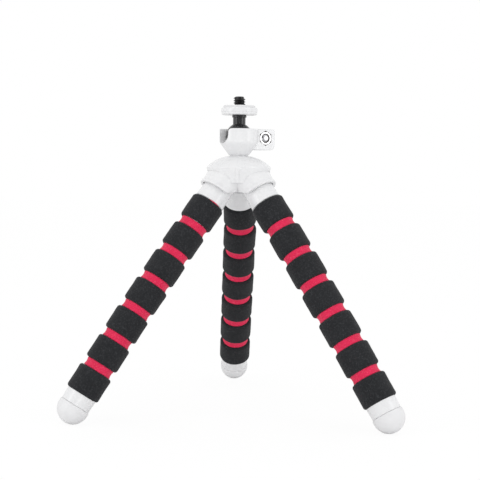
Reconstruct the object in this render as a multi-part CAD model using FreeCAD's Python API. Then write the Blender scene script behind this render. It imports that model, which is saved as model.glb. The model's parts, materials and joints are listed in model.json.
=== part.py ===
import FreeCAD, Part
import math
import os

from FreeCAD import Placement, Rotation, Vector

# A pocket camera tripod: a ball head with a clamp socket on a three-armed hub, and three bendable legs.
# The origin is the centre of the seat that the camera rests on, +Z points up along the camera screw,
# and the back leg points along +Y. Lengths are in millimetres and angles in degrees.

# Camera screw, rest pad and lock wheel.
SCREW_R = 3.175
SCREW_REACH = 4.8
SCREW_TIP_CHAMFER = 0.7
SCREW_RELIEF_R = 2.85
SCREW_RELIEF_H = 0.8
SCREW_SHANK_R = 2.3
SCREW_SHANK_DEPTH = 5.5
PAD_R = 8.5
PAD_THICK = 1.2
PAD_EDGE = 0.3
WHEEL_R = 9.8
WHEEL_THICK = 3.8
WHEEL_EDGE = 0.5
WHEEL_FOOT_R = 9.55
WHEEL_FOOT = 1.3
WHEEL_GROOVE = 0.3
SEAT_GAP = 0.1

# Ball and stem.
BALL_R = 7.15
BALL_DROP = 16.35
STEM_R = 3.4
STEM_COLLAR_R = 3.9
STEM_COLLAR_H = 1.3
STEM_COLLAR_EDGE = 0.4

# Clamp socket. The portrait slot and the ears lie on one line, turned from the X axis.
CLAMP_AZIMUTH = 28.0
SOCKET_R = 10.4
SOCKET_RIM_DROP = 12.35
SOCKET_WALL_H = 7.55
SHOULDER_ROUND = 3.0
TAPER_R = 5.4
SOCKET_EDGE = 0.5
NECK_R = 4.8
NECK_DROP = 26.9
NECK_H = 0.5
SPIGOT_R = 4.2
SPIGOT_H = 7.0
SLOT_W = 9.8
SLOT_FOOT_DROP = 20.4
SLOT_CORNER = 2.0
SLIT_W = 1.4
SLIT_H = 12.5
EAR_REACH = 19.3
EAR_THICK = 4.4
EAR_H = 11.2
EAR_LOW_CORNER = 2.6
EAR_TOP_CORNER = 0.8
EAR_EDGE = 0.5

# Clamp bolt, nut and knob.
BOLT_R = 2.0
BOLT_INSET = 5.8
BOLT_DROP = 17.2
NUT_FLATS = 7.0
NUT_H = 3.0
KNOB_R = 5.3
KNOB_H = 6.2
KNOB_BOSS_R = 3.0
KNOB_BOSS_H = 0.9
KNOB_LOBES = 8
KNOB_GROOVE_R = 1.1
KNOB_GROOVE_OUT = 0.5
KNOB_GRIP = 3.7
KNOB_EDGE = 0.6

# Hub: a domed cap over a body of three oval arms, with a bolt up the middle.
CAP_CROWN_R = 11.2
CAP_CROWN_FALL = 1.7
CAP_EDGE_R = 16.9
CAP_FALL = 5.6
CAP_BRIM_ROUND = 1.2
CAP_SKIRT_R = 15.6
CAP_SKIRT_DROP = 41.2
CAP_WALL = 1.6
RIB_R = 1.3
RIB_PROUD = 0.55
ARM_HIGH = 9.8
ARM_WIDE = 12.1
ARM_END_HIGH = 9.5
ARM_END_WIDE = 10.4
ARM_FLARE = 8.6
ARM_LIP = 0.45
ARM_LIP_H = 1.4
ARM_LIP_ROUND = 0.25
CORE_R = 8.6
HUB_DROP = 46.3
HEAD_BOLT_R = 1.5
HEAD_BOLT_L = 14.0
HEAD_BOLT_HEAD_R = 2.75
HEAD_BOLT_HEAD_H = 3.0
HEAD_BOLT_SUNK = 0.6
HEAD_BOLT_KEY_FLATS = 2.5
HEAD_BOLT_KEY_DEPTH = 1.5

# Legs. Each leaves the hub tilted outwards, and bends a little at its gaps as it stands.
HUB_YAW = -2.8
LEG_AZIMUTH = {"left": 210.0, "back": 90.0, "right": 330.0}
LEG_TILT = 36.9
LEG_ROOT_R = 17.8
LEG_ROOT_DROP = 52.2
LEG_BOW = -0.48
LEG_SWAY = {"left": -1.6, "back": 2.75, "right": -1.2}
COLLARS = 7
COLLAR_R = 9.15
COLLAR_L = 13.76
COLLAR_EDGE = 1.4
GAP = 3.91
BEAD_R = 7.1
SLEEVE_R = 6.9
WIRE_R = 1.25
WIRE_TOP = 10.3
WIRE_FUNNEL = 0.8

# Ferrule at the top of each leg, in heights above the first collar.
ARM_END = 7.7
FERRULE_R = 8.3
FERRULE_TOP_R = 7.65
FERRULE_H = 12.0
FERRULE_EDGE = 0.4
FERRULE_MOUTH = 1.2

# Foot plug and rubber foot cap, in depths below the last collar.
PLUG_DEPTH = 6.0
PLUG_R = 8.1
PLUG_END_R = 7.8
PLUG_H = 6.4
STUB_R = 5.0
STUB_H = 4.5
FOOT_R = 8.3
FOOT_DROP = 8.2
FOOT_EDGE = 0.5

# Clearances.
RUN = 0.05
BEAD_CLEAR = 0.08
WIRE_CLEAR = 0.15
SEAT_CLEAR = 0.02
BOLT_CLEAR = 0.1
SHADOW_GAP = 0.35

# Smallest length that counts as one, and a length past everything in the hub.
FINE = 1e-3
FAR = 60.0

ORIGIN = Vector(0, 0, 0)
UP = Vector(0, 0, 1)


def at(x, z):
    return Vector(x, 0, z)


def turned(edges):
    """Solid of revolution about Z from edges that close a profile in the XZ plane."""
    face = Part.Face(Part.Wire(Part.__sortEdges__(edges)))
    return face.revolve(ORIGIN, UP, 360)


def outline(points):
    """Straight edges through points, closed."""
    return lines(points + points[:1])


def lines(points):
    return [Part.makeLine(a, b) for a, b in zip(points, points[1:]) if a.distanceToPoint(b) > FINE]


def arc(start, middle, end):
    return Part.Arc(start, middle, end).toShape()


def corner(center, radius, from_angle, to_angle):
    """Arc of a profile about a centre, between two angles measured from the +X axis."""
    a, m, b = (math.radians(v) for v in (from_angle, (from_angle + to_angle) / 2, to_angle))
    points = [center + Vector(radius * math.cos(t), 0, radius * math.sin(t)) for t in (a, m, b)]
    return arc(*points)


def rod(radius, low, high):
    return Part.makeCylinder(radius, high - low, Vector(0, 0, low))


def ring(outer, inner, low, high):
    return rod(outer, low, high).cut(rod(inner, low - 1, high + 1))


def circles(shape, radius, z):
    """Edges of a shape that are circles of a radius about Z, at one height."""
    found = []
    for edge in shape.Edges:
        box = edge.BoundBox
        if box.ZLength < FINE and abs(box.ZMax - z) < FINE and abs(box.XMax - radius) < FINE:
            found.append(edge)
    return found


def chord(radius, half):
    """Distance from a circle's centre to a chord of the given half length."""
    return math.sqrt(radius**2 - half**2)


def save(name, shape):
    solids = shape.Solids
    whole = solids[0] if len(solids) == 1 else Part.makeCompound(solids)
    assert all(s.isValid() for s in solids), name
    whole.exportStep("parts/" + name + ".step")
    print(name, len(solids), "solids", round(whole.Volume, 1), "mm3")


# Head heights, all counted from the seat.
WHEEL_TOP = -PAD_THICK
WHEEL_LOW = WHEEL_TOP - WHEEL_THICK
STEM_TOP = WHEEL_LOW - SEAT_GAP
BALL_Z = -BALL_DROP
RIM_Z = -SOCKET_RIM_DROP
NECK_Z = -NECK_DROP
SPIGOT_Z = NECK_Z - SPIGOT_H


def camera_screw():
    """Steel screw on a plain shank: two threaded lengths, drawn at major diameter, and a relief between."""
    low = STEM_TOP - SCREW_SHANK_DEPTH
    tip = SCREW_R - SCREW_TIP_CHAMFER
    points = [at(0, low), at(SCREW_SHANK_R, low), at(SCREW_SHANK_R, STEM_TOP), at(SCREW_R, STEM_TOP)]
    points += [at(SCREW_R, -SCREW_RELIEF_H), at(SCREW_RELIEF_R, -SCREW_RELIEF_H), at(SCREW_RELIEF_R, 0)]
    points += [at(SCREW_R, 0), at(SCREW_R, SCREW_REACH - SCREW_TIP_CHAMFER), at(tip, SCREW_REACH)]
    return turned(outline(points + [at(0, SCREW_REACH)]))


def camera_pad():
    """Flat round pad that the camera's base rests on."""
    pad = ring(PAD_R, SCREW_R + RUN, WHEEL_TOP, 0)
    return pad.makeFillet(PAD_EDGE, circles(pad, PAD_R, 0))


def lock_wheel():
    """Smooth moulded wheel on the screw, with a fine groove round it above a slightly smaller foot."""
    groove_z = WHEEL_LOW + WHEEL_FOOT
    bore = SCREW_R + RUN
    edge = WHEEL_EDGE
    points = [at(bore, WHEEL_LOW), at(WHEEL_FOOT_R - edge, WHEEL_LOW), at(WHEEL_FOOT_R, WHEEL_LOW + edge)]
    points += [at(WHEEL_FOOT_R, groove_z), at(WHEEL_R - WHEEL_GROOVE, groove_z)]
    points += [at(WHEEL_R - WHEEL_GROOVE, groove_z + WHEEL_GROOVE), at(WHEEL_R, groove_z + WHEEL_GROOVE)]
    rim = at(WHEEL_R, WHEEL_TOP - edge)
    edges = lines(points + [rim]) + [corner(at(WHEEL_R - edge, rim.z), edge, 0, 90)]
    edges += lines([at(WHEEL_R - edge, WHEEL_TOP), at(bore, WHEEL_TOP), at(bore, WHEEL_LOW)])
    return turned(edges)


def ball_stud():
    """Ball, stem and stem collar, turned in one piece, with a bore for the screw's shank."""
    join_z = BALL_Z + chord(BALL_R, STEM_R)
    collar_z = STEM_TOP - STEM_COLLAR_H
    edge = STEM_COLLAR_EDGE
    bore = SCREW_SHANK_R + SEAT_CLEAR
    bore_z = STEM_TOP - SCREW_SHANK_DEPTH - SEAT_GAP
    edges = [
        arc(at(0, BALL_Z - BALL_R), at(BALL_R, BALL_Z), at(STEM_R, join_z)),
        corner(at(STEM_COLLAR_R - edge, collar_z + edge), edge, -90, 0),
        corner(at(STEM_COLLAR_R - edge, STEM_TOP - edge), edge, 0, 90),
    ]
    edges += lines([at(STEM_R, join_z), at(STEM_R, collar_z), at(STEM_COLLAR_R - edge, collar_z)])
    edges += lines([at(STEM_COLLAR_R, collar_z + edge), at(STEM_COLLAR_R, STEM_TOP - edge)])
    edges += lines([at(STEM_COLLAR_R - edge, STEM_TOP), at(bore, STEM_TOP), at(bore, bore_z), at(0, bore_z)])
    edges += lines([at(0, bore_z), at(0, BALL_Z - BALL_R)])
    return turned(edges)


def turned_to_clamp(shape):
    """Move a shape drawn with the ears along +X and the split in the XZ plane to where the clamp points."""
    return shape.rotate(ORIGIN, UP, CLAMP_AZIMUTH)


EAR_FACE = SLIT_W / 2 + EAR_THICK
BOLT_OUT = EAR_REACH - BOLT_INSET


def socket_cup():
    """Outside of the clamp socket: straight wall, round shoulder, taper, neck and spigot into the hub."""
    wall_z = RIM_Z - SOCKET_WALL_H
    neck_top = NECK_Z + NECK_H
    points = [at(0, RIM_Z), at(0, SPIGOT_Z), at(SPIGOT_R, SPIGOT_Z), at(SPIGOT_R, NECK_Z)]
    points += [at(NECK_R, NECK_Z), at(NECK_R, neck_top), at(TAPER_R, neck_top), at(SOCKET_R, wall_z)]
    points.append(at(SOCKET_R, RIM_Z))
    cup = turned(outline(points))
    cup = cup.makeFillet(SHOULDER_ROUND, circles(cup, SOCKET_R, wall_z))
    return cup.makeFillet(SOCKET_EDGE, circles(cup, SOCKET_R, RIM_Z))


def end_edges(block, z):
    """Edges across the outer end of the ears' block, at one height."""
    found = []
    for edge in block.Edges:
        box = edge.BoundBox
        if box.YLength > EAR_FACE and box.XMin > EAR_REACH - FINE and abs(box.ZMax - z) < FINE:
            found.append(edge)
    return found


def ears():
    """Block for both ears, with its outer corners rounded."""
    low = RIM_Z - EAR_H
    block = Part.makeBox(EAR_REACH, 2 * EAR_FACE, EAR_H, Vector(0, -EAR_FACE, low))
    block = block.makeFillet(EAR_LOW_CORNER, end_edges(block, low))
    block = block.makeFillet(EAR_TOP_CORNER, end_edges(block, RIM_Z))
    faces = [f for f in block.Faces if f.BoundBox.YLength < FINE]
    return block.makeFillet(EAR_EDGE, [e for f in faces for e in f.Edges if e.BoundBox.XMax > SOCKET_R])


def portrait_slot():
    """Cutter for the wide slot that the tilted stem lies in, with rounded upper corners."""
    half = SLOT_W / 2
    foot_z = half - SLOT_FOOT_DROP
    flare = half + SLOT_CORNER
    turn_z = RIM_Z - SLOT_CORNER
    dip = SLOT_CORNER * math.sin(math.pi / 4)

    def side(y, z):
        return Vector(0, y, z)

    edges = [Part.Arc(side(-half, foot_z), side(0, foot_z - half), side(half, foot_z)).toShape()]
    for sign in (-1, 1):
        low, high = side(sign * half, turn_z), side(sign * flare, RIM_Z)
        middle = side(sign * (flare - dip), turn_z + dip)
        edges += [Part.Arc(low, middle, high).toShape()] + lines([side(sign * half, foot_z), low])
        edges += lines([high, side(sign * flare, RIM_Z + SLOT_CORNER)])
    edges += lines([side(-flare, RIM_Z + SLOT_CORNER), side(flare, RIM_Z + SLOT_CORNER)])
    face = Part.Face(Part.Wire(Part.__sortEdges__(edges)))
    return face.extrude(Vector(-SOCKET_R - SLOT_CORNER, 0, 0))


def nut_prism(flats, low, high):
    """Hexagonal prism along Y about the clamp bolt, with corners pointing up and down."""
    radius = flats / math.sqrt(3)
    points = []
    for i in range(7):
        turn = math.radians(90 + 60 * i)
        points.append(Vector(BOLT_OUT + radius * math.cos(turn), low, -BOLT_DROP + radius * math.sin(turn)))
    return Part.Face(Part.makePolygon(points)).extrude(Vector(0, high - low, 0))


def across_clamp(radius, low, high):
    """Cylinder along the clamp bolt's axis."""
    return Part.makeCylinder(radius, high - low, Vector(BOLT_OUT, low, -BOLT_DROP), Vector(0, 1, 0))


def ball_socket():
    """Split clamp socket: bowl for the ball, wide portrait slot on one side, slit and ears on the other."""
    body = socket_cup().fuse(ears()).removeSplitter()
    cavity = Part.makeSphere(BALL_R + RUN, Vector(0, 0, BALL_Z))
    mouth = rod(chord(BALL_R + RUN, RIM_Z - BALL_Z), RIM_Z - 1, RIM_Z + 1)
    slit = Part.makeBox(EAR_REACH + 1, SLIT_W, SLIT_H + 1, Vector(0, -SLIT_W / 2, RIM_Z - SLIT_H))
    bolt_hole = across_clamp(BOLT_R + RUN, -EAR_FACE - 1, EAR_FACE + 1)
    recess = nut_prism(NUT_FLATS + BOLT_CLEAR, -EAR_FACE - 1, -EAR_FACE + NUT_H + RUN)
    thread = rod(HEAD_BOLT_R + RUN, SPIGOT_Z - 1, NECK_Z + RUN)
    return turned_to_clamp(body.cut([cavity, mouth, portrait_slot(), slit, bolt_hole, recess, thread]))


def clamp_nut():
    nut = nut_prism(NUT_FLATS, -EAR_FACE, -EAR_FACE + NUT_H)
    return turned_to_clamp(nut.cut(across_clamp(BOLT_R + SEAT_CLEAR, -EAR_FACE - 1, 0)))


KNOB_LOW = EAR_FACE + SEAT_GAP + KNOB_BOSS_H


def clamp_bolt():
    return turned_to_clamp(across_clamp(BOLT_R, -EAR_FACE, KNOB_LOW + KNOB_GRIP))


def clamp_knob():
    """Lobed thumb knob behind the far ear, moulded on the bolt's end."""
    blank = across_clamp(KNOB_R, KNOB_LOW, KNOB_LOW + KNOB_H)
    knob = blank.makeFillet(KNOB_EDGE, [e for e in blank.Edges if e.BoundBox.YLength < FINE])
    grooves = []
    for i in range(KNOB_LOBES):
        turn = 2 * math.pi * i / KNOB_LOBES
        out = Vector(math.cos(turn), 0, math.sin(turn)) * (KNOB_R + KNOB_GROOVE_OUT)
        groove = across_clamp(KNOB_GROOVE_R, KNOB_LOW - 1, KNOB_LOW + KNOB_H + 1)
        grooves.append(groove.translate(out))
    boss = across_clamp(KNOB_BOSS_R, KNOB_LOW - KNOB_BOSS_H, KNOB_LOW)
    hole = across_clamp(BOLT_R + SEAT_CLEAR, EAR_FACE, KNOB_LOW + KNOB_GRIP)
    return turned_to_clamp(knob.cut(grooves).fuse(boss).removeSplitter().cut(hole))


def leg_top(name):
    """Frame of a leg's first collar: origin at its top centre, Z up along the leg, X leaning outwards."""
    swing = Placement(ORIGIN, Rotation(UP, LEG_AZIMUTH[name] + HUB_YAW))
    tilt = Placement(Vector(LEG_ROOT_R, 0, -LEG_ROOT_DROP), Rotation(Vector(0, 1, 0), -LEG_TILT))
    return swing.multiply(tilt)


def leg_frames(name):
    """Frames of all collars of a leg, each bent against the one above about the middle of the gap."""
    frames = [leg_top(name)]
    for i in range(1, COLLARS):
        to_bend = Placement(Vector(0, 0, -COLLAR_L - GAP / 2), Rotation(Vector(0, 1, 0), -LEG_BOW))
        if i == 1:
            to_bend = to_bend.multiply(Placement(ORIGIN, Rotation(Vector(1, 0, 0), LEG_SWAY[name])))
        frames.append(frames[-1].multiply(to_bend).multiply(Placement(Vector(0, 0, -GAP / 2), Rotation())))
    return frames


def placed(shape, frame):
    moved = shape.copy()
    moved.Placement = frame.multiply(moved.Placement)
    return moved


CUP_R = BEAD_R + BEAD_CLEAR
BEND_ABOVE = GAP / 2
BEND_BELOW = -COLLAR_L - GAP / 2


def collar():
    """Foam collar: a thick tube with rounded outer edges, slipped over its sleeve."""
    edge = COLLAR_EDGE
    bore = SLEEVE_R + RUN
    edges = [
        corner(at(COLLAR_R - edge, -edge), edge, 0, 90),
        corner(at(COLLAR_R - edge, edge - COLLAR_L), edge, -90, 0),
    ]
    edges += lines([at(COLLAR_R, -edge), at(COLLAR_R, edge - COLLAR_L)])
    edges += lines([at(COLLAR_R - edge, 0), at(bore, 0), at(bore, -COLLAR_L)])
    edges += lines([at(bore, -COLLAR_L), at(COLLAR_R - edge, -COLLAR_L)])
    return turned(edges)


def cup_edges(bore):
    """Hollow that a bead seats in, at the lower end of a sleeve or ferrule, from the rim in to the bore."""
    rim = at(SLEEVE_R, BEND_BELOW + chord(CUP_R, SLEEVE_R))
    inner = at(bore, BEND_BELOW + chord(CUP_R, bore))
    half = (SLEEVE_R + bore) / 2
    return rim, inner, arc(rim, at(half, BEND_BELOW + chord(CUP_R, half)), inner)


def sleeve(last):
    """Foam sleeve through one collar, with a bead at its top in the gap above, bored as a funnel."""
    bore = WIRE_R + WIRE_CLEAR
    funnel = bore + WIRE_FUNNEL
    top = at(funnel, BEND_ABOVE + chord(BEAD_R, funnel))
    waist = at(SLEEVE_R, BEND_ABOVE - chord(BEAD_R, SLEEVE_R))
    edges = [arc(top, at(BEAD_R, BEND_ABOVE), waist)] + lines([at(bore, BEND_ABOVE), top])
    if last:
        foot = PLUG_DEPTH - COLLAR_L
        edges += lines([waist, at(SLEEVE_R, foot), at(bore, foot), at(bore, BEND_ABOVE)])
    else:
        rim, inner, cup = cup_edges(bore)
        edges += [cup] + lines([waist, rim]) + lines([inner, at(bore, BEND_ABOVE)])
    return turned(edges)


def ferrule():
    """White end piece of a leg: a slightly conical plug into the hub, and a core inside the first collar."""
    bore = WIRE_R + WIRE_CLEAR
    rim, inner, cup = cup_edges(bore)
    edge = FERRULE_EDGE
    blind = WIRE_TOP + SEAT_GAP
    top = at(FERRULE_TOP_R, FERRULE_H)
    edges = [cup] + lines([inner, at(bore, blind), at(0, blind), at(0, FERRULE_H), top])
    edges += lines([top, at(FERRULE_R, edge), at(FERRULE_R - edge, SEAT_GAP), at(SLEEVE_R, SEAT_GAP), rim])
    return turned(edges)


PLUG_Z = -COLLAR_L


def foot_plug():
    """White end plug glued into the last collar, tapering down to the rubber foot."""
    bore = WIRE_R + WIRE_CLEAR
    top = PLUG_Z + PLUG_DEPTH - SEAT_GAP
    shoulder = PLUG_Z - SEAT_GAP
    end = PLUG_Z - PLUG_H
    blind = PLUG_Z - PLUG_H / 2
    points = [at(bore, top), at(SLEEVE_R, top), at(SLEEVE_R, shoulder), at(PLUG_R, shoulder)]
    points += [at(PLUG_END_R, end), at(STUB_R, end), at(STUB_R, end - STUB_H), at(0, end - STUB_H)]
    points += [at(0, blind), at(bore, blind)]
    return turned(outline(points))


def foot_cap():
    """Rubber foot: a ball end with a short skirt up to the plug, hollow over the plug's stub."""
    center = PLUG_Z - FOOT_DROP
    top = PLUG_Z - PLUG_H - SEAT_GAP
    edge = FOOT_EDGE
    hole = STUB_R + RUN
    hole_z = PLUG_Z - PLUG_H - STUB_H - SEAT_GAP
    ball = corner(at(0, center), FOOT_R, -90, 0)
    rim = corner(at(FOOT_R - edge, top - edge), edge, 0, 90)
    edges = [ball, rim] + lines([at(FOOT_R, center), at(FOOT_R, top - edge)])
    edges += lines([at(FOOT_R - edge, top), at(hole, top), at(hole, hole_z), at(0, hole_z)])
    edges += lines([at(0, hole_z), at(0, center - FOOT_R)])
    return turned(edges)


def core_wire(name):
    """Bendable wire through a whole leg, in straight lengths that meet at the bends."""
    frames = leg_frames(name)
    pieces = []
    for i, frame in enumerate(frames):
        high = WIRE_TOP if i == 0 else BEND_ABOVE
        low = PLUG_Z - PLUG_H / 2 + SEAT_GAP if i == COLLARS - 1 else BEND_BELOW
        pieces.append(placed(rod(WIRE_R, low, high), frame))
        if i:
            pieces.append(placed(Part.makeSphere(WIRE_R, Vector(0, 0, BEND_ABOVE)), frame))
    return pieces[0].fuse(pieces[1:]).removeSplitter()


def oval(wide, high, z):
    """Closed oval across a leg: wide sideways, high in the plane of the leg."""
    shape = Part.Ellipse(Vector(0, wide, 0), Vector(high, 0, 0), ORIGIN).toShape()
    shape.translate(Vector(0, 0, z))
    return Part.Wire([shape])


ARM_KNEE = ARM_END + ARM_FLARE
ARM_TOP = LEG_ROOT_R / math.sin(math.radians(LEG_TILT)) + NECK_R


def arm(grow):
    """One oval arm of the hub, from its open end to past the middle, flaring from the end upwards."""
    end = oval(ARM_END_WIDE + grow, ARM_END_HIGH + grow, ARM_END)
    knee = oval(ARM_WIDE + grow, ARM_HIGH + grow, ARM_KNEE)
    top = oval(ARM_WIDE + grow, ARM_HIGH + grow, ARM_TOP)
    return Part.makeLoft([end, knee], True, True).fuse(Part.makeLoft([knee, top], True, True))


def arm_lip():
    """Rolled lip round an arm's open end, widening with the arm's flare."""
    ends = []
    for z in (0, ARM_LIP_H):
        wide = ARM_END_WIDE + (ARM_WIDE - ARM_END_WIDE) * z / ARM_FLARE
        high = ARM_END_HIGH + (ARM_HIGH - ARM_END_HIGH) * z / ARM_FLARE
        ends.append(oval(wide + ARM_LIP, high + ARM_LIP, ARM_END + z))
    lip = Part.makeLoft(ends, True, True)
    rims = [e for e in lip.Edges if e.BoundBox.ZLength < FINE and e.BoundBox.ZMax < ARM_END + FINE]
    return lip.makeFillet(ARM_LIP_ROUND, rims)


def ferrule_socket():
    """Hollow in an arm for a ferrule, a little wider at its mouth."""
    low = ARM_END - ARM_LIP_H
    top = FERRULE_H + SEAT_GAP
    taper = (FERRULE_R - FERRULE_TOP_R) / (FERRULE_H - FERRULE_EDGE)
    low_r = FERRULE_TOP_R + RUN + taper * (top - low)
    hollow = Part.makeCone(low_r, FERRULE_TOP_R + RUN, top - low, Vector(0, 0, low))
    return hollow.fuse(rod(FERRULE_R + SHADOW_GAP, low, ARM_END + FERRULE_MOUTH))


def for_legs(shape):
    """Copies of a shape drawn in a leg's frame, one at the top of each leg."""
    return [placed(shape, leg_top(name)) for name in LEG_AZIMUTH]


def crown(drop):
    """Arc of the cap's crown from the neck to the start of the brim's round, lowered by drop."""
    start = at(NECK_R, NECK_Z - drop)
    end = at(CAP_EDGE_R, NECK_Z - CAP_FALL - drop)
    return arc(start, at(CAP_CROWN_R, NECK_Z - CAP_CROWN_FALL - drop), end), start, end


def under_crown(drop):
    """Everything below the cap's crown, lowered by drop and carried on outwards."""
    curve, start, end = crown(drop)
    edges = [curve] + lines([end, at(FAR, end.z), at(FAR, -FAR), at(0, -FAR), at(0, start.z), start])
    return turned(edges)


def hub_blank(grow, drop):
    """Arms and core of the hub body, thickened by grow, under the crown lowered by drop."""
    core = rod(CORE_R + grow, -FAR, NECK_Z)
    return core.fuse(for_legs(arm(grow))).common(under_crown(drop))


def brim_point():
    """Widest point of the cap, at the foot of the brim's round, with that round's centre and start angle."""
    curve, start, end = crown(0)
    away = end - curve.Curve.Center
    steep = math.atan2(away.z, away.x)
    center = end - away.normalize() * CAP_BRIM_ROUND
    return at(center.x + CAP_BRIM_ROUND, center.z), center, math.degrees(steep)


def rib():
    """Rounded ridge down the middle of one tongue of the skirt."""
    brim = brim_point()[0]
    inset = RIB_R - RIB_PROUD
    top = Vector(brim.x - inset, 0, brim.z - RIB_R)
    foot = Vector(CAP_SKIRT_R - inset, 0, -CAP_SKIRT_DROP)
    run = (top - foot).normalize()
    ridge = Part.makeCylinder(RIB_R, top.distanceToPoint(foot) + RIB_R, foot - run * RIB_R, run)
    ridge = ridge.fuse(Part.makeSphere(RIB_R, top))
    return ridge.cut(rod(FAR, -FAR, foot.z))


def hub_cap():
    """Domed cap whose skirt hangs in three ribbed tongues between the arms and arches over each of them."""
    curve, start, end = crown(0)
    brim, round_center, steep = brim_point()
    foot = at(CAP_SKIRT_R, -CAP_SKIRT_DROP)
    edges = [curve, corner(round_center, CAP_BRIM_ROUND, 0, steep)]
    edges += lines([brim, foot, at(0, foot.z), at(0, NECK_Z), start])
    third = 360 / len(LEG_AZIMUTH)
    first_tongue = LEG_AZIMUTH["back"] + third / 2 + HUB_YAW
    ribs = [rib().rotate(ORIGIN, UP, first_tongue + third * i) for i in range(len(LEG_AZIMUTH))]
    hole = rod(SPIGOT_R + RUN, -HUB_DROP, 0)
    cap = turned(edges).fuse(ribs).cut(hub_blank(SEAT_GAP, CAP_WALL)).cut(hole)
    return biggest(cap)


HEAD_BOLT_LOW = -HUB_DROP + HEAD_BOLT_SUNK
HEAD_BOLT_SEAT = HEAD_BOLT_LOW + HEAD_BOLT_HEAD_H


def hub_body():
    """Three oval arms joined under the cap and cut level below, with sockets for ferrules and head."""
    body = hub_blank(0, CAP_WALL + SEAT_GAP).fuse(for_legs(arm_lip()))
    body = body.common(rod(FAR, -HUB_DROP, 0))
    pocket = rod(SPIGOT_R + RUN, SPIGOT_Z - SEAT_GAP, 0)
    bolt_way = rod(HEAD_BOLT_R + BOLT_CLEAR, -FAR, 0)
    bolt_seat = rod(HEAD_BOLT_HEAD_R + BOLT_CLEAR, -FAR, HEAD_BOLT_SEAT)
    return biggest(body.cut(for_legs(ferrule_socket()) + [pocket, bolt_way, bolt_seat]))


def head_bolt():
    """Cap screw up the middle of the hub, drawn at its major diameter, with a hexagon key socket."""
    head = rod(HEAD_BOLT_HEAD_R, HEAD_BOLT_LOW, HEAD_BOLT_SEAT)
    shank = rod(HEAD_BOLT_R, HEAD_BOLT_SEAT, HEAD_BOLT_SEAT + HEAD_BOLT_L)
    radius = HEAD_BOLT_KEY_FLATS / math.sqrt(3)
    turns = [math.radians(60 * i) for i in range(7)]
    corners = [Vector(radius * math.cos(t), radius * math.sin(t), HEAD_BOLT_LOW) for t in turns]
    key = Part.Face(Part.makePolygon(corners)).extrude(Vector(0, 0, HEAD_BOLT_KEY_DEPTH))
    return head.fuse(shank).removeSplitter().cut(key)


def biggest(shape):
    """Largest solid of a shape, leaving off slivers that a cut splits away."""
    return max(shape.Solids, key=lambda s: s.Volume)


def leg_nodes(name):
    """Every node of one leg, with the collars and sleeves numbered from the hub down."""
    frames = leg_frames(name)
    nodes = {"ferrule_" + name: placed(ferrule(), frames[0])}
    for i, frame in enumerate(frames):
        last = i == COLLARS - 1
        nodes["collar_%s_%d" % (name, i + 1)] = placed(collar(), frame)
        if i:
            nodes["sleeve_%s_%d" % (name, i + 1)] = placed(sleeve(last), frame)
    nodes["foot_plug_" + name] = placed(foot_plug(), frames[-1])
    nodes["foot_cap_" + name] = placed(foot_cap(), frames[-1])
    return nodes


def main():
    os.makedirs("parts", exist_ok=True)
    nodes = {
        "camera_screw": camera_screw(),
        "camera_pad": camera_pad(),
        "lock_wheel": lock_wheel(),
        "ball_stud": ball_stud(),
        "ball_socket": ball_socket(),
        "clamp_nut": clamp_nut(),
        "clamp_bolt": clamp_bolt(),
        "clamp_knob": clamp_knob(),
        "hub_cap": hub_cap(),
        "hub_body": hub_body(),
        "head_bolt": head_bolt(),
        "core_wires": Part.makeCompound([core_wire(name) for name in LEG_AZIMUTH]),
    }
    for name in LEG_AZIMUTH:
        nodes.update(leg_nodes(name))
    for name, shape in nodes.items():
        save(name, shape)


main()
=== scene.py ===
import bpy
import bmesh
import json
import math
from mathutils import Matrix, Vector

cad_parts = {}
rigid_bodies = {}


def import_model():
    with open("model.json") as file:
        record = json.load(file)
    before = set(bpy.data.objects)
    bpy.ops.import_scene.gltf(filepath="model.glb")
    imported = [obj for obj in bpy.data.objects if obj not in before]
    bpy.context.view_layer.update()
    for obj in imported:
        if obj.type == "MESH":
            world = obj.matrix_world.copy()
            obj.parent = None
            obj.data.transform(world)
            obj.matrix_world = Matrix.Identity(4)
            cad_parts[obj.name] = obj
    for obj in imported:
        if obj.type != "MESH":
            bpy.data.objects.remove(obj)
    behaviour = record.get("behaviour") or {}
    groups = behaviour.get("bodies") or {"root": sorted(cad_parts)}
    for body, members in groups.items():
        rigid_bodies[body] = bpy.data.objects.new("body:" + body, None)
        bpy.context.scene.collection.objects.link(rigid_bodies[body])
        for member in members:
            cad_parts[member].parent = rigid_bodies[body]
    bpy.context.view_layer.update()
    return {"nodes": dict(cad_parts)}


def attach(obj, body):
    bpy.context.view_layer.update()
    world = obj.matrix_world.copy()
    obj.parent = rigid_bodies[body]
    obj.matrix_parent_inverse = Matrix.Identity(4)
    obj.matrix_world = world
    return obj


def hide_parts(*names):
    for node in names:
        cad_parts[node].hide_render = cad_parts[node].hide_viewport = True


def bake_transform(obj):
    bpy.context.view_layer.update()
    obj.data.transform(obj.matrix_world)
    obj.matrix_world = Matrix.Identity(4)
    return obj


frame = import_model()

# White shells: the wheel, clamp socket, knob, hub cap, hub body, ferrules and
# foot plugs. They are injection-moulded in one glossy white plastic, with the
# faint cloudiness and fine ripple that moulded gloss has.

SIDES = ("left", "back", "right")
SHELL_SHADE = (0.78, 0.785, 0.80, 1)
SHELL_WHITE = (0.84, 0.84, 0.845, 1)


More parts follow.
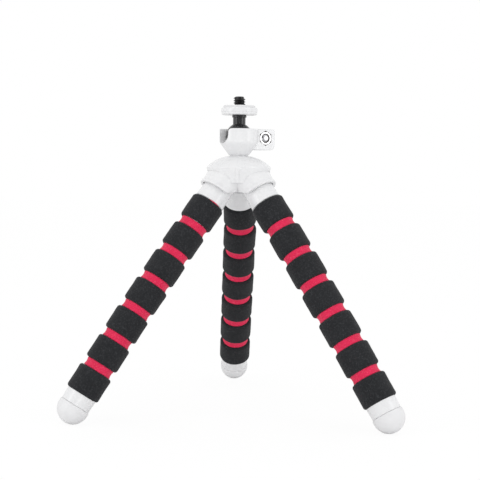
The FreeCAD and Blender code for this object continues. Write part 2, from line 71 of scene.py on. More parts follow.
class Strand:
    """One output of a node, on which sums add Math nodes."""

    def __init__(self, wiring, socket):
        self.wiring = wiring
        self.socket = socket

    def maths(self, operation, other, turned=False):
        first, second = (other, self) if turned else (self, other)
        return self.wiring.node("ShaderNodeMath", {"operation": operation}, first, second)

    def __add__(self, other):
        return self.maths("ADD", other)

    def __radd__(self, other):
        return self.maths("ADD", other, turned=True)

    def __sub__(self, other):
        return self.maths("SUBTRACT", other)

    def __rsub__(self, other):
        return self.maths("SUBTRACT", other, turned=True)

    def __mul__(self, other):
        return self.maths("MULTIPLY", other)

    def __rmul__(self, other):
        return self.maths("MULTIPLY", other, turned=True)


class Wiring:
    """A node tree, built up by naming nodes and what feeds their sockets."""

    def __init__(self, tree):
        self.tree = tree

    def wire(self, socket, value):
        """Link a strand to a socket, or set the socket to a plain value."""
        if isinstance(value, Strand):
            self.tree.links.new(value.socket, socket)
        else:
            socket.default_value = value

    def node(self, kind, settings=None, *values, out=None, **named):
        """A node with its settings, then values for its open sockets in order or by name.

        It gives the output that out names, or else the first open one.
        """
        made = self.tree.nodes.new(kind)
        for key, value in (settings or {}).items():
            setattr(made, key, value)
        open_inputs = [socket for socket in made.inputs if socket.enabled]
        for socket, value in zip(open_inputs, values):
            self.wire(socket, value)
        for key, value in named.items():
            self.wire(made.inputs[key.replace("_", " ")], value)
        open_outputs = [socket for socket in made.outputs if socket.enabled]
        return Strand(self, made.outputs[out] if out else next(iter(open_outputs), None))


class Look(Wiring):
    """A material of one shader, with its patterns on Object coordinates."""

    def __init__(self, name, **fixed):
        self.material = bpy.data.materials.new(name)
        self.material.use_nodes = True
        super().__init__(self.material.node_tree)
        self.shader = self.tree.nodes["Principled BSDF"]
        self.place = self.node("ShaderNodeTexCoord", out="Object")
        self.skin(**fixed)

    def skin(self, **sockets):
        """Feed the shader's sockets."""
        for name, value in sockets.items():
            self.wire(self.shader.inputs[name.replace("_", " ")], value)

    def noise(self, scale, detail=2.0, roughness=0.5):
        return self.node("ShaderNodeTexNoise", Vector=self.place, Scale=scale, Detail=detail,
                         Roughness=roughness)

    def ramp(self, value, low, high):
        """0 below low, 1 above high, and even between."""
        return self.node("ShaderNodeMapRange", None, value, low, high)

    def blend(self, share, first, second):
        """A colour between two, by its share of the second."""
        return self.node("ShaderNodeMix", {"data_type": "RGBA"}, share, first, second)

    def bump(self, height, distance, strength):
        self.skin(Normal=self.node("ShaderNodeBump", Height=height, Distance=distance, Strength=strength))


def dress(look, *names):
    """Give CAD nodes a material."""
    for name in names:
        mesh = frame["nodes"][name].data
        mesh.materials.clear()
        mesh.materials.append(look.material)


white_plastic = Look("white_plastic", Coat_Weight=0.25, Coat_Roughness=0.08, IOR=1.48)
cloud = white_plastic.noise(scale=90.0, detail=3.0)
haze = white_plastic.noise(scale=260.0, detail=4.0)
ripple = white_plastic.noise(scale=1500.0)
white_plastic.skin(
    Base_Color=white_plastic.blend(cloud, SHELL_SHADE, SHELL_WHITE),
    Roughness=0.20 + 0.14 * haze,
)
white_plastic.bump(ripple, distance=0.000012, strength=0.5)
dress(white_plastic, "lock_wheel", "ball_socket", "clamp_knob", "hub_cap", "hub_body")
for side in SIDES:
    dress(white_plastic, "ferrule_" + side, "foot_plug_" + side)

# Rest pad: a thin white rubber disc on the wheel that grips the camera's base,
# with fine rings moulded in its face.

PAD_SHADE = (0.74, 0.74, 0.75, 1)
PAD_WHITE = (0.80, 0.80, 0.81, 1)
PAD_RING_PITCH = 0.0009

pad_rubber = Look("pad_rubber", IOR=1.5, Roughness=0.55)
flat_place = pad_rubber.node("ShaderNodeVectorMath", {"operation": "MULTIPLY"}, pad_rubber.place, (1, 1, 0))
from_axis = pad_rubber.node("ShaderNodeVectorMath", {"operation": "LENGTH"}, flat_place)
ring_turn = from_axis * (2 * math.pi / PAD_RING_PITCH)
ring_wave = pad_rubber.node("ShaderNodeMath", {"operation": "SINE"}, ring_turn)
cloud = pad_rubber.noise(scale=700.0)
pad_rubber.skin(Base_Color=pad_rubber.blend(cloud, PAD_SHADE, PAD_WHITE))
pad_rubber.bump(ring_wave, distance=0.00005, strength=0.8)
dress(pad_rubber, "camera_pad")

# Ball and stem: turned in one piece and enamelled gloss black, so that they
# carry clean highlights with a little orange peel.

ENAMEL_DEEP = (0.012, 0.012, 0.013, 1)
ENAMEL_BLACK = (0.022, 0.022, 0.024, 1)

black_gloss = Look("black_gloss", Coat_Weight=0.3, Coat_Roughness=0.05, IOR=1.45)
cloud = black_gloss.noise(scale=400.0)
haze = black_gloss.noise(scale=900.0, detail=3.0)
orange_peel = black_gloss.noise(scale=1100.0)
black_gloss.skin(
    Base_Color=black_gloss.blend(cloud, ENAMEL_DEEP, ENAMEL_BLACK),
    Roughness=0.16 + 0.10 * haze,
)
black_gloss.bump(orange_peel, distance=0.00001, strength=0.5)
dress(black_gloss, "ball_stud")

# Camera screw: a blackened steel screw with a rolled quarter-inch thread,
# 1.27 mm a turn, standing on the stem and through the wheel and the pad.

SCREW_R = 0.003175
SCREW_PITCH = 0.00127
SCREW_LOW = -0.0051
SCREW_HIGH = 0.0048
SCREW_TIP = 0.00045
STEEL_BLACK = (0.018, 0.018, 0.019, 1)
STEEL_WORN = (0.05, 0.05, 0.052, 1)


def put(name, data):
    """A new object in the scene, for a mesh, a curve, a lamp or a camera."""
    piece = bpy.data.objects.new(name, data)
    bpy.context.scene.collection.objects.link(piece)
    return piece


class Recipe(Wiring):
    """A Geometry Nodes tree with named inputs, used for each piece of one kind."""

    def __init__(self, name, **inputs):
        super().__init__(bpy.data.node_groups.new(name, "GeometryNodeTree"))
        self.tree.interface.new_socket("Geometry", in_out="OUTPUT", socket_type="NodeSocketGeometry")
        self.ids = {}
        for label, kind in inputs.items():
            socket = self.tree.interface.new_socket(label, in_out="INPUT", socket_type="NodeSocket" + kind)
            self.ids[label] = socket.identifier
        self.given = self.tree.nodes.new("NodeGroupInput")
        self.result = self.tree.nodes.new("NodeGroupOutput")

    def input(self, label):
        return Strand(self, self.given.outputs[label])

    def end(self, geometry):
        """Close the tree with plain geometry in the piece's own material."""
        plain = self.node("GeometryNodeRealizeInstances", Geometry=geometry)
        painted = self.node("GeometryNodeSetMaterial", Geometry=plain, Material=self.input("Skin"))
        self.wire(self.result.inputs[0], painted)

    def make(self, name, **values):
        """A plain mesh object from the recipe with these values."""
        piece = put(name, bpy.data.meshes.new(name))
        modifier = piece.modifiers.new("recipe", "NODES")
        modifier.node_group = self.tree
        for label, value in values.items():
            modifier[self.ids[label]] = value
        bpy.context.view_layer.update()
        evaluated = piece.evaluated_get(bpy.context.evaluated_depsgraph_get())
        mesh = bpy.data.meshes.new_from_object(evaluated)
        piece.modifiers.remove(modifier)
        piece.data = mesh
        mesh.name = name
        return piece


def profile(points, closed):
    """A flat curve through the points of a profile."""
    line = bpy.data.curves.new("profile", "CURVE")
    line.dimensions = "3D"
    spline = line.splines.new("POLY")
    spline.points.add(len(points) - 1)
    for point, (r, z) in zip(spline.points, points):
        point.co = (r, z, 0, 1)
    spline.use_cyclic_u = closed
    return put("profile", line)


def smooth(piece, degrees=35):
    """Shade a piece smooth, but for edges that turn by more than this."""
    piece.data.shade_smooth()
    piece.data.set_sharp_from_angle(angle=math.radians(degrees))
    return piece


# A turned body is a profile swept round the axis. A soft one has its surface
# raised and sunk a little by an unevenness of its own.
UNEVEN_SCALE = 130.0
MERGE_REACH = 0.000002
turned_body = Recipe("turned_body", Profile="Object", Middle="Float", Around="Int", Uneven="Float",
                     Own="Float", Skin="Material")
section = turned_body.node("GeometryNodeObjectInfo", {"transform_space": "ORIGINAL"}, out="Geometry",
                           Object=turned_body.input("Profile"))
circle = turned_body.node("GeometryNodeCurvePrimitiveCircle", {"mode": "RADIUS"},
                          Resolution=turned_body.input("Around"), Radius=turned_body.input("Middle"))
circle = turned_body.node("GeometryNodeSetCurveNormal", {"mode": "Z_UP"}, Curve=circle)
shell = turned_body.node("GeometryNodeCurveToMesh", Curve=circle, Profile_Curve=section)
shell = turned_body.node("GeometryNodeMergeByDistance", Geometry=shell, Distance=MERGE_REACH)
height = turned_body.node("ShaderNodeTexNoise", {"noise_dimensions": "4D"}, W=turned_body.input("Own"),
                          Vector=turned_body.node("GeometryNodeInputPosition"), Scale=UNEVEN_SCALE)
raised = turned_body.node("ShaderNodeVectorMath", {"operation": "SCALE"},
                          turned_body.node("GeometryNodeInputNormal"),
                          (height - 0.5) * turned_body.input("Uneven"))
turned_body.end(turned_body.node("GeometryNodeSetPosition", Geometry=shell, Offset=raised))


def turn(name, points, look, middle, around, uneven=0.0, own=0.0):
    """A turned piece from its profile, given as distance from the axis and height.

    The profile is swept along a circle of radius middle, in as many steps as around says.
    """
    following = points[1:] + points[:1]
    if sum(a[0] * b[1] - b[0] * a[1] for a, b in zip(points, following)) > 0:
        # An anticlockwise profile would turn the piece inside out.
        points = points[::-1]
    shape = profile([(r - middle, -z) for r, z in points], closed=points[0][0] > 0)
    piece = turned_body.make(name, Profile=shape, Middle=middle, Around=around, Uneven=uneven,
                             Own=own, Skin=look.material)
    bpy.data.objects.remove(shape)
    return smooth(piece)


def joined(name, pieces):
    """Several pieces made one, in the first one's place."""
    whole = bmesh.new()
    for piece in pieces:
        whole.from_mesh(piece.data)
    for piece in pieces[1:]:
        bpy.data.objects.remove(piece)
    whole.to_mesh(pieces[0].data)
    whole.free()
    pieces[0].name = name
    pieces[0].data.name = name
    return pieces[0]


# A thread is a small tooth swept along a spiral round the shank. The tooth's
# outline, and how far the thread stops short of the tips, are shares of the pitch.
THREAD_DEPTH = 0.54
THREAD_INSET = 0.25
TOOTH_CREST = 0.09
TOOTH_FOOT = 0.46
TOOTH_SUNK = 0.03
COIL_STEPS = 48
ROD_STEPS = 64
thread_coil = Recipe("thread_coil", Tooth="Object", Shank="Float", Pitch="Float", Turns="Float", Low="Float",
                     Skin="Material")
tooth = thread_coil.node("GeometryNodeObjectInfo", {"transform_space": "ORIGINAL"}, out="Geometry",
                         Object=thread_coil.input("Tooth"))
spiral = thread_coil.node("GeometryNodeCurveSpiral", Resolution=COIL_STEPS, Reverse=True,
                          Rotations=thread_coil.input("Turns"), Start_Radius=thread_coil.input("Shank"),
                          End_Radius=thread_coil.input("Shank"),
                          Height=thread_coil.input("Pitch") * thread_coil.input("Turns"))
spiral = thread_coil.node("GeometryNodeSetCurveNormal", {"mode": "Z_UP"}, Curve=spiral)
coil = thread_coil.node("GeometryNodeCurveToMesh", Curve=spiral, Profile_Curve=tooth, Fill_Caps=True)
lifted = thread_coil.node("ShaderNodeCombineXYZ", Z=thread_coil.input("Low"))
thread_coil.end(thread_coil.node("GeometryNodeSetPosition", Geometry=coil, Offset=lifted))


def threaded(name, radius, pitch, low, high, tip, look):
    """A chamfered rod along Z with a right-handed thread of this pitch between two heights."""
    root = radius - THREAD_DEPTH * pitch
    ends = [(0, low), (root - tip, low), (root, low + tip), (root, high - tip), (root - tip, high), (0, high)]
    rod = turn(name, ends, look, root, ROD_STEPS)
    tooth_points = [(-TOOTH_SUNK, -TOOTH_FOOT), (THREAD_DEPTH, -TOOTH_CREST), (THREAD_DEPTH, TOOTH_CREST),
                    (-TOOTH_SUNK, TOOTH_FOOT)]
    tooth_shape = profile([(out * pitch, up * pitch) for out, up in tooth_points], closed=True)
    turns = (high - low - 2 * tip) / pitch - 2 * THREAD_INSET
    thread = thread_coil.make("coil", Tooth=tooth_shape, Shank=root, Pitch=pitch, Turns=turns,
                              Low=low + tip + THREAD_INSET * pitch, Skin=look.material)
    bpy.data.objects.remove(tooth_shape)
    return joined(name, [rod, smooth(thread, degrees=25)])


black_steel = Look("black_steel", Metallic=0.85, Coat_Weight=0.2, Coat_Roughness=0.25)
wear = black_steel.noise(scale=1500.0, detail=3.0)
haze = black_steel.noise(scale=2500.0)
grain = black_steel.noise(scale=4000.0)
black_steel.skin(
    Base_Color=black_steel.blend(wear, STEEL_BLACK, STEEL_WORN),
    Roughness=0.28 + 0.16 * haze,
)
black_steel.bump(grain, distance=0.000008, strength=0.6)
camera_screw = threaded("camera_screw_thread", SCREW_R, SCREW_PITCH, SCREW_LOW, SCREW_HIGH, SCREW_TIP,
                        black_steel)
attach(camera_screw, "ball")
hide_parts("camera_screw")

# Clamp nut: a chromed M4 hexagon nut in a six-sided recess in the socket's
# front ear. Its face is bright chrome. Its flats, its chamfers and the front countersink
# are dull and painted a dark brownish shade, which stands for the shadow round the nut.

CLAMP_TURN = math.radians(28.0)
CLAMP_OUT = 0.0135
CLAMP_Z = -0.0172
EAR_FACE = 0.0051
BOLT_R = 0.002
NUT_CLEAR = 0.00004
NUT_BORE = BOLT_R + NUT_CLEAR
NUT_FLATS = 0.007
NUT_THICK = 0.003
NUT_FACE_R = 0.47 * NUT_FLATS
NUT_SINK = 0.08 * NUT_FLATS
NUT_CHAMFER = math.radians(30)
NUT_STEPS = 96
# Painted shade: these bands (front countersink, chamfers, flats) take a dark brownish colour standing for the
# shadow in the gap round the nut.
NUT_DULL_SHADED_BANDS = (0, 2, 3, 4)
CHROME_SHADE = (0.66, 0.66, 0.68, 1)
CHROME_BRIGHT = (0.78, 0.78, 0.80, 1)
FLANK_SHADE_DARK = (0.10, 0.085, 0.07, 1)
FLANK_SHADE_BROWN = (0.20, 0.18, 0.16, 1)


def to_clamp(piece):
    """Bring a piece made along Z, with the nut's face at the top, into the clamp."""
    turn_over = Matrix.Rotation(math.pi / 2, 4, "X")
    place = Matrix.Translation((CLAMP_OUT, -EAR_FACE, CLAMP_Z))
    piece.data.transform(Matrix.Rotation(CLAMP_TURN, 4, "Z") @ place @ turn_over)
    return piece


def covered(name, rows, looks, ringed, second_look_bands=()):
    """A mesh over rows of points, each row a closed loop.

    The rows close into a ring, or else the first and the last one are capped.
    """
    built = bmesh.new()
    loops = [[built.verts.new(point) for point in row] for row in rows]
    following = loops[1:] + loops[:1] if ringed else loops[1:]
    for first, second in zip(loops, following):
        for band in range(len(first)):
            beside = (band + 1) % len(first)
            face = built.faces.new((first[band], first[beside], second[beside], second[band]))
            face.material_index = 1 if band in second_look_bands else 0
    if not ringed:
        built.faces.new(loops[0])
        built.faces.new(loops[-1][::-1])
    bmesh.ops.recalc_face_normals(built, faces=built.faces)
    mesh = bpy.data.meshes.new(name)
    built.to_mesh(mesh)
    built.free()
    for look in looks:
        mesh.materials.append(look.material)
    return put(name, mesh)


def nut_row(angle):
    """The nut's outline in the half plane at this angle round its axis, its face at Z 0."""
    from_flat = (angle + math.pi / 2) % (math.pi / 3) - math.pi / 6
    wall = NUT_FLATS / 2 / math.cos(from_flat)
    drop = max(0.0, wall - NUT_FACE_R) * math.tan(NUT_CHAMFER)
    outline = [(NUT_BORE, -NUT_SINK), (NUT_BORE + NUT_SINK, 0.0), (NUT_FACE_R, 0.0), (wall, -drop),
               (wall, drop - NUT_THICK), (NUT_FACE_R, -NUT_THICK), (NUT_BORE + NUT_SINK, -NUT_THICK),
               (NUT_BORE, NUT_SINK - NUT_THICK)]
    return [(r * math.cos(angle), r * math.sin(angle), z) for r, z in outline]


nut_chrome = Look("nut_chrome", Metallic=1.0)
cloud = nut_chrome.noise(scale=800.0)
haze = nut_chrome.noise(scale=1800.0, detail=4.0)
grain = nut_chrome.noise(scale=2600.0)
nut_chrome.skin(
    Base_Color=nut_chrome.blend(cloud, CHROME_SHADE, CHROME_BRIGHT),
    Roughness=0.10 + 0.12 * haze,
)
nut_chrome.bump(grain, distance=0.00001, strength=0.5)
# Dull metal painted a dark brownish shade for the nut's flats, chamfers and countersink, standing for the
# shadow round the nut in its recess.
nut_flank = Look("nut_flank", Metallic=0.8)
shade_mottle = nut_flank.noise(scale=900.0, detail=3.0)
haze = nut_flank.noise(scale=1500.0)
nut_flank.skin(
    Base_Color=nut_flank.blend(shade_mottle, FLANK_SHADE_DARK, FLANK_SHADE_BROWN),
    Roughness=0.4 + 0.2 * haze,
)
nut_rows = [nut_row(2 * math.pi * i / NUT_STEPS) for i in range(NUT_STEPS)]
clamp_nut = covered("clamp_nut_chamfered", nut_rows, [nut_chrome, nut_flank], ringed=True,
                    second_look_bands=NUT_DULL_SHADED_BANDS)
clamp_nut = to_clamp(smooth(clamp_nut, degrees=20))
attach(clamp_nut, "hub")
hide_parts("clamp_nut")

# Clamp bolt: an M4 steel bolt through the socket's ears, drawn up by the knob
# behind. Its chamfered end stands a little out of the nut.

BOLT_PITCH = 0.0007
BOLT_LENGTH = 0.0149
BOLT_PROUD = 0.0006
BOLT_TIP = 0.0004
BOLT_SHADE = (0.52, 0.52, 0.54, 1)
BOLT_BRIGHT = (0.70, 0.70, 0.72, 1)

bolt_steel = Look("bolt_steel", Metallic=1.0)
wear = bolt_steel.noise(scale=900.0)
haze = bolt_steel.noise(scale=1600.0, detail=3.0)
grain = bolt_steel.noise(scale=3000.0)
bolt_steel.skin(
    Base_Color=bolt_steel.blend(wear, BOLT_SHADE, BOLT_BRIGHT),
    Roughness=0.22 + 0.18 * haze,
)
bolt_steel.bump(grain, distance=0.00001, strength=0.5)
clamp_bolt = threaded("clamp_bolt_thread", BOLT_R, BOLT_PITCH, -BOLT_LENGTH, BOLT_PROUD, BOLT_TIP, bolt_steel)
clamp_bolt = to_clamp(clamp_bolt)
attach(clamp_bolt, "clamp")
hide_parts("clamp_bolt")

# Head bolt: a plain steel screw from below, through the hub and into the
# socket's spigot. It holds the head on and is out of sight.

dress(bolt_steel, "head_bolt")

# Leg collars: seven thick rings of black closed-cell foam on each leg, cut with
# rounded edges. The foam is matt, finely speckled and slightly uneven.

LEG_AZIMUTH = {"left": 207.2, "back": 87.2, "right": 327.2}
LEG_TILT = 36.9
LEG_ROOT = (0.0178, 0.0, -0.0522)
LEG_BOW = 0.48
LEG_SWAY = {"left": -1.6, "back": 2.75, "right": -1.2}
COLLARS = 7
COLLAR_R = 0.00915
COLLAR_L = 0.01376
COLLAR_BORE = 0.00696
COLLAR_ROUND = 0.0014
COLLAR_CUT = 0.00028
COLLAR_ROWS = (0.25, 0.4, 0.5, 0.6, 0.75)
COLLAR_STEPS = 112
BORE_ROUND = 0.0003
BORE_ROUND_STEPS = 3
GAP = 0.00391
FOAM_UNEVEN = 0.0006
FOAM_DEEP = (0.010, 0.0108, 0.0125, 1)
FOAM_BLACK = (0.021, 0.022, 0.0245, 1)
FOAM_FLECK = (0.085, 0.088, 0.095, 1)
FLECK_SHARE = 0.42


def rounding(r, z, radius, start, end, steps=8):
    """A profile's points round part of a circle, between two angles in degrees."""
    turns = [math.radians(start + (end - start) * i / steps) for i in range(steps + 1)]
    return [(r + radius * math.cos(t), z + radius * math.sin(t)) for t in turns]


def leg_frames(side):
    """Where each collar's top centre is, with Z up along the leg and X leaning outwards."""
    about = Matrix.Rotation(math.radians(LEG_AZIMUTH[side]), 4, "Z")
    at = about @ Matrix.Translation(LEG_ROOT) @ Matrix.Rotation(math.radians(-LEG_TILT), 4, "Y")
    bow = Matrix.Rotation(math.radians(LEG_BOW), 4, "Y")
    frames = [at]
    for i in range(1, COLLARS):
        at = at @ Matrix.Translation((0, 0, -COLLAR_L - GAP / 2)) @ bow
        if i == 1:
            at = at @ Matrix.Rotation(math.radians(LEG_SWAY[side]), 4, "X")
        at = at @ Matrix.Translation((0, 0, -GAP / 2))
        frames.append(at)
    return frames


def leg_body(side, number):
    """The moving body that a collar belongs to, counted from the hub down."""
    return "hub" if number == 1 else "%s_%d" % (side, number)


def own_number(side, number):
    """A number that each collar or band of the three legs has for itself."""
    return number + COLLARS * SIDES.index(side)


def collar_section(top_cut, foot_cut):
    """A collar's profile, cut short by this much at its top and its foot."""
    top, foot = -top_cut, foot_cut - COLLAR_L
    bore_r = COLLAR_BORE + BORE_ROUND
    return (
        rounding(COLLAR_R - COLLAR_ROUND, top - COLLAR_ROUND, COLLAR_ROUND, 90, 0)
        + [(COLLAR_R, -COLLAR_L * share) for share in COLLAR_ROWS]
        + rounding(COLLAR_R - COLLAR_ROUND, foot + COLLAR_ROUND, COLLAR_ROUND, 0, -90)
        + rounding(bore_r, foot + BORE_ROUND, BORE_ROUND, -90, -180, BORE_ROUND_STEPS)
        + rounding(bore_r, top - BORE_ROUND, BORE_ROUND, 180, 90, BORE_ROUND_STEPS)
    )


collar_foam = Look("collar_foam", Sheen_Weight=0.06, Sheen_Roughness=0.5, IOR=1.3)
fleck = collar_foam.ramp(collar_foam.noise(scale=1150.0, detail=3.0, roughness=0.8), low=0.50, high=0.72)
blotch = collar_foam.blend(collar_foam.noise(scale=140.0, detail=3.0), FOAM_DEEP, FOAM_BLACK)
haze = collar_foam.noise(scale=1200.0)
cells = collar_foam.noise(scale=2200.0, detail=4.0, roughness=0.65)
collar_foam.skin(
    Base_Color=collar_foam.blend(fleck * FLECK_SHARE, blotch, FOAM_FLECK),
    Roughness=0.75 + 0.2 * haze,
)
collar_foam.bump(cells, distance=0.00012, strength=0.9)
for side in SIDES:
    for number, at in enumerate(leg_frames(side), 1):
        top_cut = 0 if number == 1 else COLLAR_CUT
        foot_cut = 0 if number == COLLARS else COLLAR_CUT
        collar = turn("foam_collar_%s_%d" % (side, number), collar_section(top_cut, foot_cut), collar_foam,
                      COLLAR_R, COLLAR_STEPS, FOAM_UNEVEN, own_number(side, number))
        collar.data.transform(at)
        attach(collar, leg_body(side, number))
        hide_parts("collar_%s_%d" % (side, number))

# Red bands: a crimson foam sleeve runs down each leg under the collars, and
# shows in the gaps as six slightly waisted bands, each turned halfway between its collars.

BAND_R = 0.00765
BAND_WAIST_R = 0.0073
BAND_CORE_R = 0.00684
BAND_BORE = 0.0046
BAND_TUCK = 0.0034
BAND_CLEAR = 0.00005
BAND_LIP = 0.0004
BAND_HALF = GAP / 2 + COLLAR_CUT - BAND_CLEAR
BAND_ROWS = 6
BAND_BORE_ROWS = (-1.0, -0.5, 0.0, 0.5, 1.0)
BAND_LIP_STEPS = 4
BAND_STEPS = 96
SLEEVE_DEEP = (0.66, 0.011, 0.062, 1)
SLEEVE_RED = (0.82, 0.020, 0.098, 1)
SLEEVE_PORE = (0.95, 0.16, 0.24, 1)
PORE_SHARE = 0.5


def band_section():
    """A band's profile about the gap's middle, waisted, with lips and a core tucked in the collars."""
    waist_half = BAND_HALF - BAND_LIP
    waist = []
    for i in range(2 * BAND_ROWS + 1):
        z = waist_half * (1 - i / BAND_ROWS)
        swell = abs(z / waist_half) ** 2
        waist.append((BAND_WAIST_R + (BAND_R - BAND_WAIST_R) * swell, z))
    tucked = BAND_HALF + BAND_TUCK
    return (
        [(BAND_BORE, tucked), (BAND_CORE_R, tucked), (BAND_CORE_R, BAND_HALF)]
        + rounding(BAND_R - BAND_LIP, waist_half, BAND_LIP, 90, 10, BAND_LIP_STEPS)
        + waist
        + rounding(BAND_R - BAND_LIP, -waist_half, BAND_LIP, -10, -90, BAND_LIP_STEPS)
        + [(BAND_CORE_R, -BAND_HALF), (BAND_CORE_R, -tucked), (BAND_BORE, -tucked)]
        + [(BAND_BORE, share * BAND_HALF) for share in BAND_BORE_ROWS]
    )


def leg_gap(side, number):
    """The two ends of the gap below a collar, and its middle, turned halfway between its collars."""
    above, below = leg_frames(side)[number - 1:number + 1]
    top = above @ Vector((0, 0, -COLLAR_L))
    bottom = below.to_translation()
    facing = above.to_quaternion().slerp(below.to_quaternion(), 0.5)
    return top, bottom, Matrix.Translation((top + bottom) / 2) @ facing.to_matrix().to_4x4()


sleeve_foam = Look("sleeve_foam", Sheen_Weight=0.15, Sheen_Roughness=0.5, IOR=1.35)
pore = sleeve_foam.ramp(sleeve_foam.noise(scale=1100.0, detail=3.0, roughness=0.8), low=0.54, high=0.70)
dye = sleeve_foam.blend(sleeve_foam.noise(scale=160.0, detail=3.0), SLEEVE_DEEP, SLEEVE_RED)
haze = sleeve_foam.noise(scale=1100.0)
cells = sleeve_foam.noise(scale=2200.0, detail=4.0, roughness=0.65)
sleeve_foam.skin(
    Base_Color=sleeve_foam.blend(pore * PORE_SHARE, dye, SLEEVE_PORE),
    Roughness=0.66 + 0.2 * haze,
)
sleeve_foam.bump(cells, distance=0.0001, strength=0.8)
for side in SIDES:
    for number in range(1, COLLARS):
        top, bottom, place = leg_gap(side, number)
        band = turn("red_band_%s_%d" % (side, number), band_section(), sleeve_foam, BAND_R, BAND_STEPS,
                    FOAM_UNEVEN / 2, own_number(side, number))
        band.data.transform(place)
        leg_body(side, number)
        leg_body(side, number + 1)
        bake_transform(band)
        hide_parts("sleeve_%s_%d" % (side, number + 1))

# Red rim: the sleeve's top end, squeezed out in a thin crescent between the
# left ferrule and its first collar.

RIM_R = 0.0085
RIM_TURN = math.radians(86)
RIM_REACH = math.radians(24)
RIM_WIDE = 0.00034
RIM_HIGH = 0.00026
RIM_Z = -0.00012
RIM_END_SHARE = 0.04
RIM_STEPS = 24
RIM_ROUND_STEPS = 10


def rim_row(share):
    """The rim's outline where it has gone this share of its reach, from -1 to 1."""
    swell = max(RIM_END_SHARE, math.cos(share * math.pi / 2))
    angle = RIM_TURN + share * RIM_REACH
    row = []
    for i in range(RIM_ROUND_STEPS):
        t = 2 * math.pi * i / RIM_ROUND_STEPS
        r = RIM_R + RIM_WIDE * swell * math.cos(t)
        row.append((r * math.cos(angle), r * math.sin(angle), RIM_Z + RIM_HIGH * swell * math.sin(t)))
    return row


rim_rows = [rim_row(2 * i / RIM_STEPS - 1) for i in range(RIM_STEPS + 1)]
red_rim = covered("red_rim_left", rim_rows, [sleeve_foam], ringed=False)
red_rim.data.transform(leg_frames("left")[0])
smooth(red_rim)
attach(red_rim, "hub")

# Core wires: one soft aluminium wire down the middle of each leg, which keeps
# the bend it is given. It is out of sight inside the foam.

WIRE_R = 0.00125
WIRE_TOP = 0.0103
WIRE_STEPS = 24
WIRE_SHADE = (0.60, 0.60, 0.62, 1)
WIRE_BRIGHT = (0.74, 0.74, 0.76, 1)

core_wire = Look("core_wire", Metallic=1.0)
wear = core_wire.noise(scale=600.0)
haze = core_wire.noise(scale=1500.0)
core_wire.skin(
    Base_Color=core_wire.blend(wear, WIRE_SHADE, WIRE_BRIGHT),
    Roughness=0.32 + 0.16 * haze,
)
for side in SIDES:
    for number in range(1, COLLARS):
        top, bottom, place = leg_gap(side, number)
        high = WIRE_TOP + COLLAR_L + GAP / 2 if number == 1 else (COLLAR_L + GAP) / 2
        low = -(COLLAR_L + GAP) / 2 - (COLLAR_L / 2 if number == COLLARS - 1 else 0)
        heights = [low, low / 2, -GAP / 2, -GAP / 4, 0, GAP / 4, GAP / 2, high / 2, high]
        outline = [(0, low)] + [(WIRE_R, z) for z in heights] + [(0, high)]
        stretch = turn("core_wire_%s_%d" % (side, number), outline, core_wire, WIRE_R, WIRE_STEPS)
        stretch.data.transform(place)
        leg_body(side, number)
        leg_body(side, number + 1)
        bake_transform(stretch)
        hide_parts("core_wires")

# Foot caps: round rubber feet pressed over the plugs, satin white with a very
# fine grain and a faint cloudiness.

RUBBER_SHADE = (0.76, 0.76, 0.775, 1)
RUBBER_WHITE = (0.83, 0.83, 0.835, 1)

foot_rubber = Look("foot_rubber", IOR=1.5, Coat_Weight=0.1, Coat_Roughness=0.3)
cloud = foot_rubber.noise(scale=120.0, detail=4.0)
haze = foot_rubber.noise(scale=500.0, detail=3.0)
grain = foot_rubber.noise(scale=2400.0)
foot_rubber.skin(
    Base_Color=foot_rubber.blend(cloud, RUBBER_SHADE, RUBBER_WHITE),
    Roughness=0.36 + 0.18 * haze,
)
foot_rubber.bump(grain, distance=0.00002, strength=0.6)
for side in SIDES:
    dress(foot_rubber, "foot_cap_" + side)

# Floor: plain white paper under the feet. To the camera it mostly glows, so that
# it ends in the room without a line, and the rest of it takes soft shadows.

FLOOR_Z = -0.16486
FLOOR_REACH = 4
PAPER_WHITE = (0.88, 0.88, 0.88, 1)
PAPER_GLOW = 1.02
PAPER_GLOW_SHARE = 0.9

corners = [(-FLOOR_REACH, -FLOOR_REACH), (FLOOR_REACH, -FLOOR_REACH), (FLOOR_REACH, FLOOR_REACH),
           (-FLOOR_REACH, FLOOR_REACH)]
floor_mesh = bpy.data.meshes.new("floor")
floor_mesh.from_pydata([(x, y, FLOOR_Z) for x, y in corners], [], [(0, 1, 2, 3)])
floor_paper = bpy.data.materials.new("floor_paper")
floor_paper.use_nodes = True
paper = Wiring(floor_paper.node_tree)
paper.tree.nodes.clear()
camera_ray = paper.node("ShaderNodeLightPath", out="Is Camera Ray")
matt = paper.node("ShaderNodeBsdfDiffuse", Color=PAPER_WHITE)
glow = paper.node("ShaderNodeEmission", Strength=PAPER_GLOW)
seen = paper.node("ShaderNodeMixShader", None, camera_ray * PAPER_GLOW_SHARE, matt, glow)
paper.node("ShaderNodeOutputMaterial", Surface=seen)
floor_mesh.materials.append(floor_paper)
floor = put("floor", floor_mesh)

# Room: an even white light all round, pure white where the camera sees it. The
# room that shiny pieces mirror is dim in front, so that black ones stay black.

WHITE = (1, 1, 1, 1)
ROOM_LIGHT = 0.9
DIM_FROM = -0.92
DIM_TO = -0.55
DIM_SHARE = 0.12

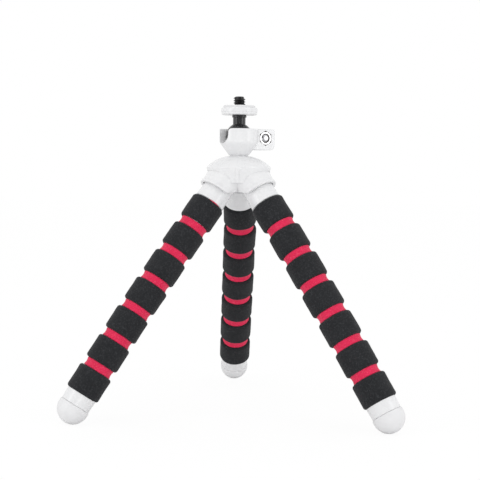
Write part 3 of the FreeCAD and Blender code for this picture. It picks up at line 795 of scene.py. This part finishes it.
world = bpy.data.worlds.new("white_room")
bpy.context.scene.world = world
world.use_nodes = True
room = Wiring(world.node_tree)
room.tree.nodes.clear()
direction = room.node("ShaderNodeTexCoord", out="Generated")
backwards = room.node("ShaderNodeSeparateXYZ", None, direction, out="Y")
dimmed = room.node("ShaderNodeMapRange", None, backwards, DIM_FROM, DIM_TO, DIM_SHARE)
even_light = room.node("ShaderNodeBackground", Color=WHITE, Strength=ROOM_LIGHT)
mirrored = room.node("ShaderNodeBackground", Color=dimmed)
pure_white = room.node("ShaderNodeBackground", Color=WHITE)
mirror_ray = room.node("ShaderNodeLightPath", out="Is Glossy Ray")
camera_ray = room.node("ShaderNodeLightPath", out="Is Camera Ray")
unseen = room.node("ShaderNodeMixShader", None, mirror_ray, even_light, mirrored)
seen = room.node("ShaderNodeMixShader", None, camera_ray, unseen, pure_white)
room.node("ShaderNodeOutputWorld", Surface=seen)

# Lamps: two tall soft ones at the sides and a low wide one in front, all turned
# to the tripod's middle. They draw the long highlights on the stem and shells.

LAMP_AIM = Vector((0, 0, -0.06))


def soft_lamp(name, place, wide, high, watts):
    """A soft rectangular lamp turned to face the tripod's middle."""
    light = bpy.data.lights.new(name, "AREA")
    light.shape = "RECTANGLE"
    light.size = wide
    light.size_y = high
    light.energy = watts
    lamp = put(name, light)
    lamp.location = place
    lamp.rotation_euler = (LAMP_AIM - Vector(place)).to_track_quat("-Z", "Y").to_euler()


soft_lamp("left_lamp", place=(-0.75, -0.45, 0.05), wide=0.25, high=0.8, watts=1.2)
soft_lamp("right_lamp", place=(0.75, -0.45, 0.05), wide=0.25, high=0.8, watts=1.1)
soft_lamp("low_lamp", place=(0.0, -1.1, -0.12), wide=0.9, high=0.12, watts=1.2)

# Camera: at the view fitted to the photograph, 600 mm in front and looking down
# a little, with the photograph's slight roll and shift.

CAMERA_PLACE = (-0.00324, -0.600, -0.03475)
CAMERA_DOWN = 3.573
CAMERA_ROLL = 0.665
SENSOR_WIDTH = 36
LENS = 83.45
SHIFT = 0.01696
NEAREST = 0.01

camera = bpy.data.cameras.new("camera")
camera.sensor_width = SENSOR_WIDTH
camera.lens = LENS
camera.shift_x = SHIFT
camera.clip_start = NEAREST
viewer = put("camera", camera)
pitch = Matrix.Rotation(math.radians(90 - CAMERA_DOWN), 4, "X")
roll = Matrix.Rotation(math.radians(CAMERA_ROLL), 4, "Z")
viewer.matrix_world = Matrix.Translation(CAMERA_PLACE) @ pitch @ roll
bpy.context.scene.camera = viewer
bpy.context.scene.view_settings.view_transform = "Standard"
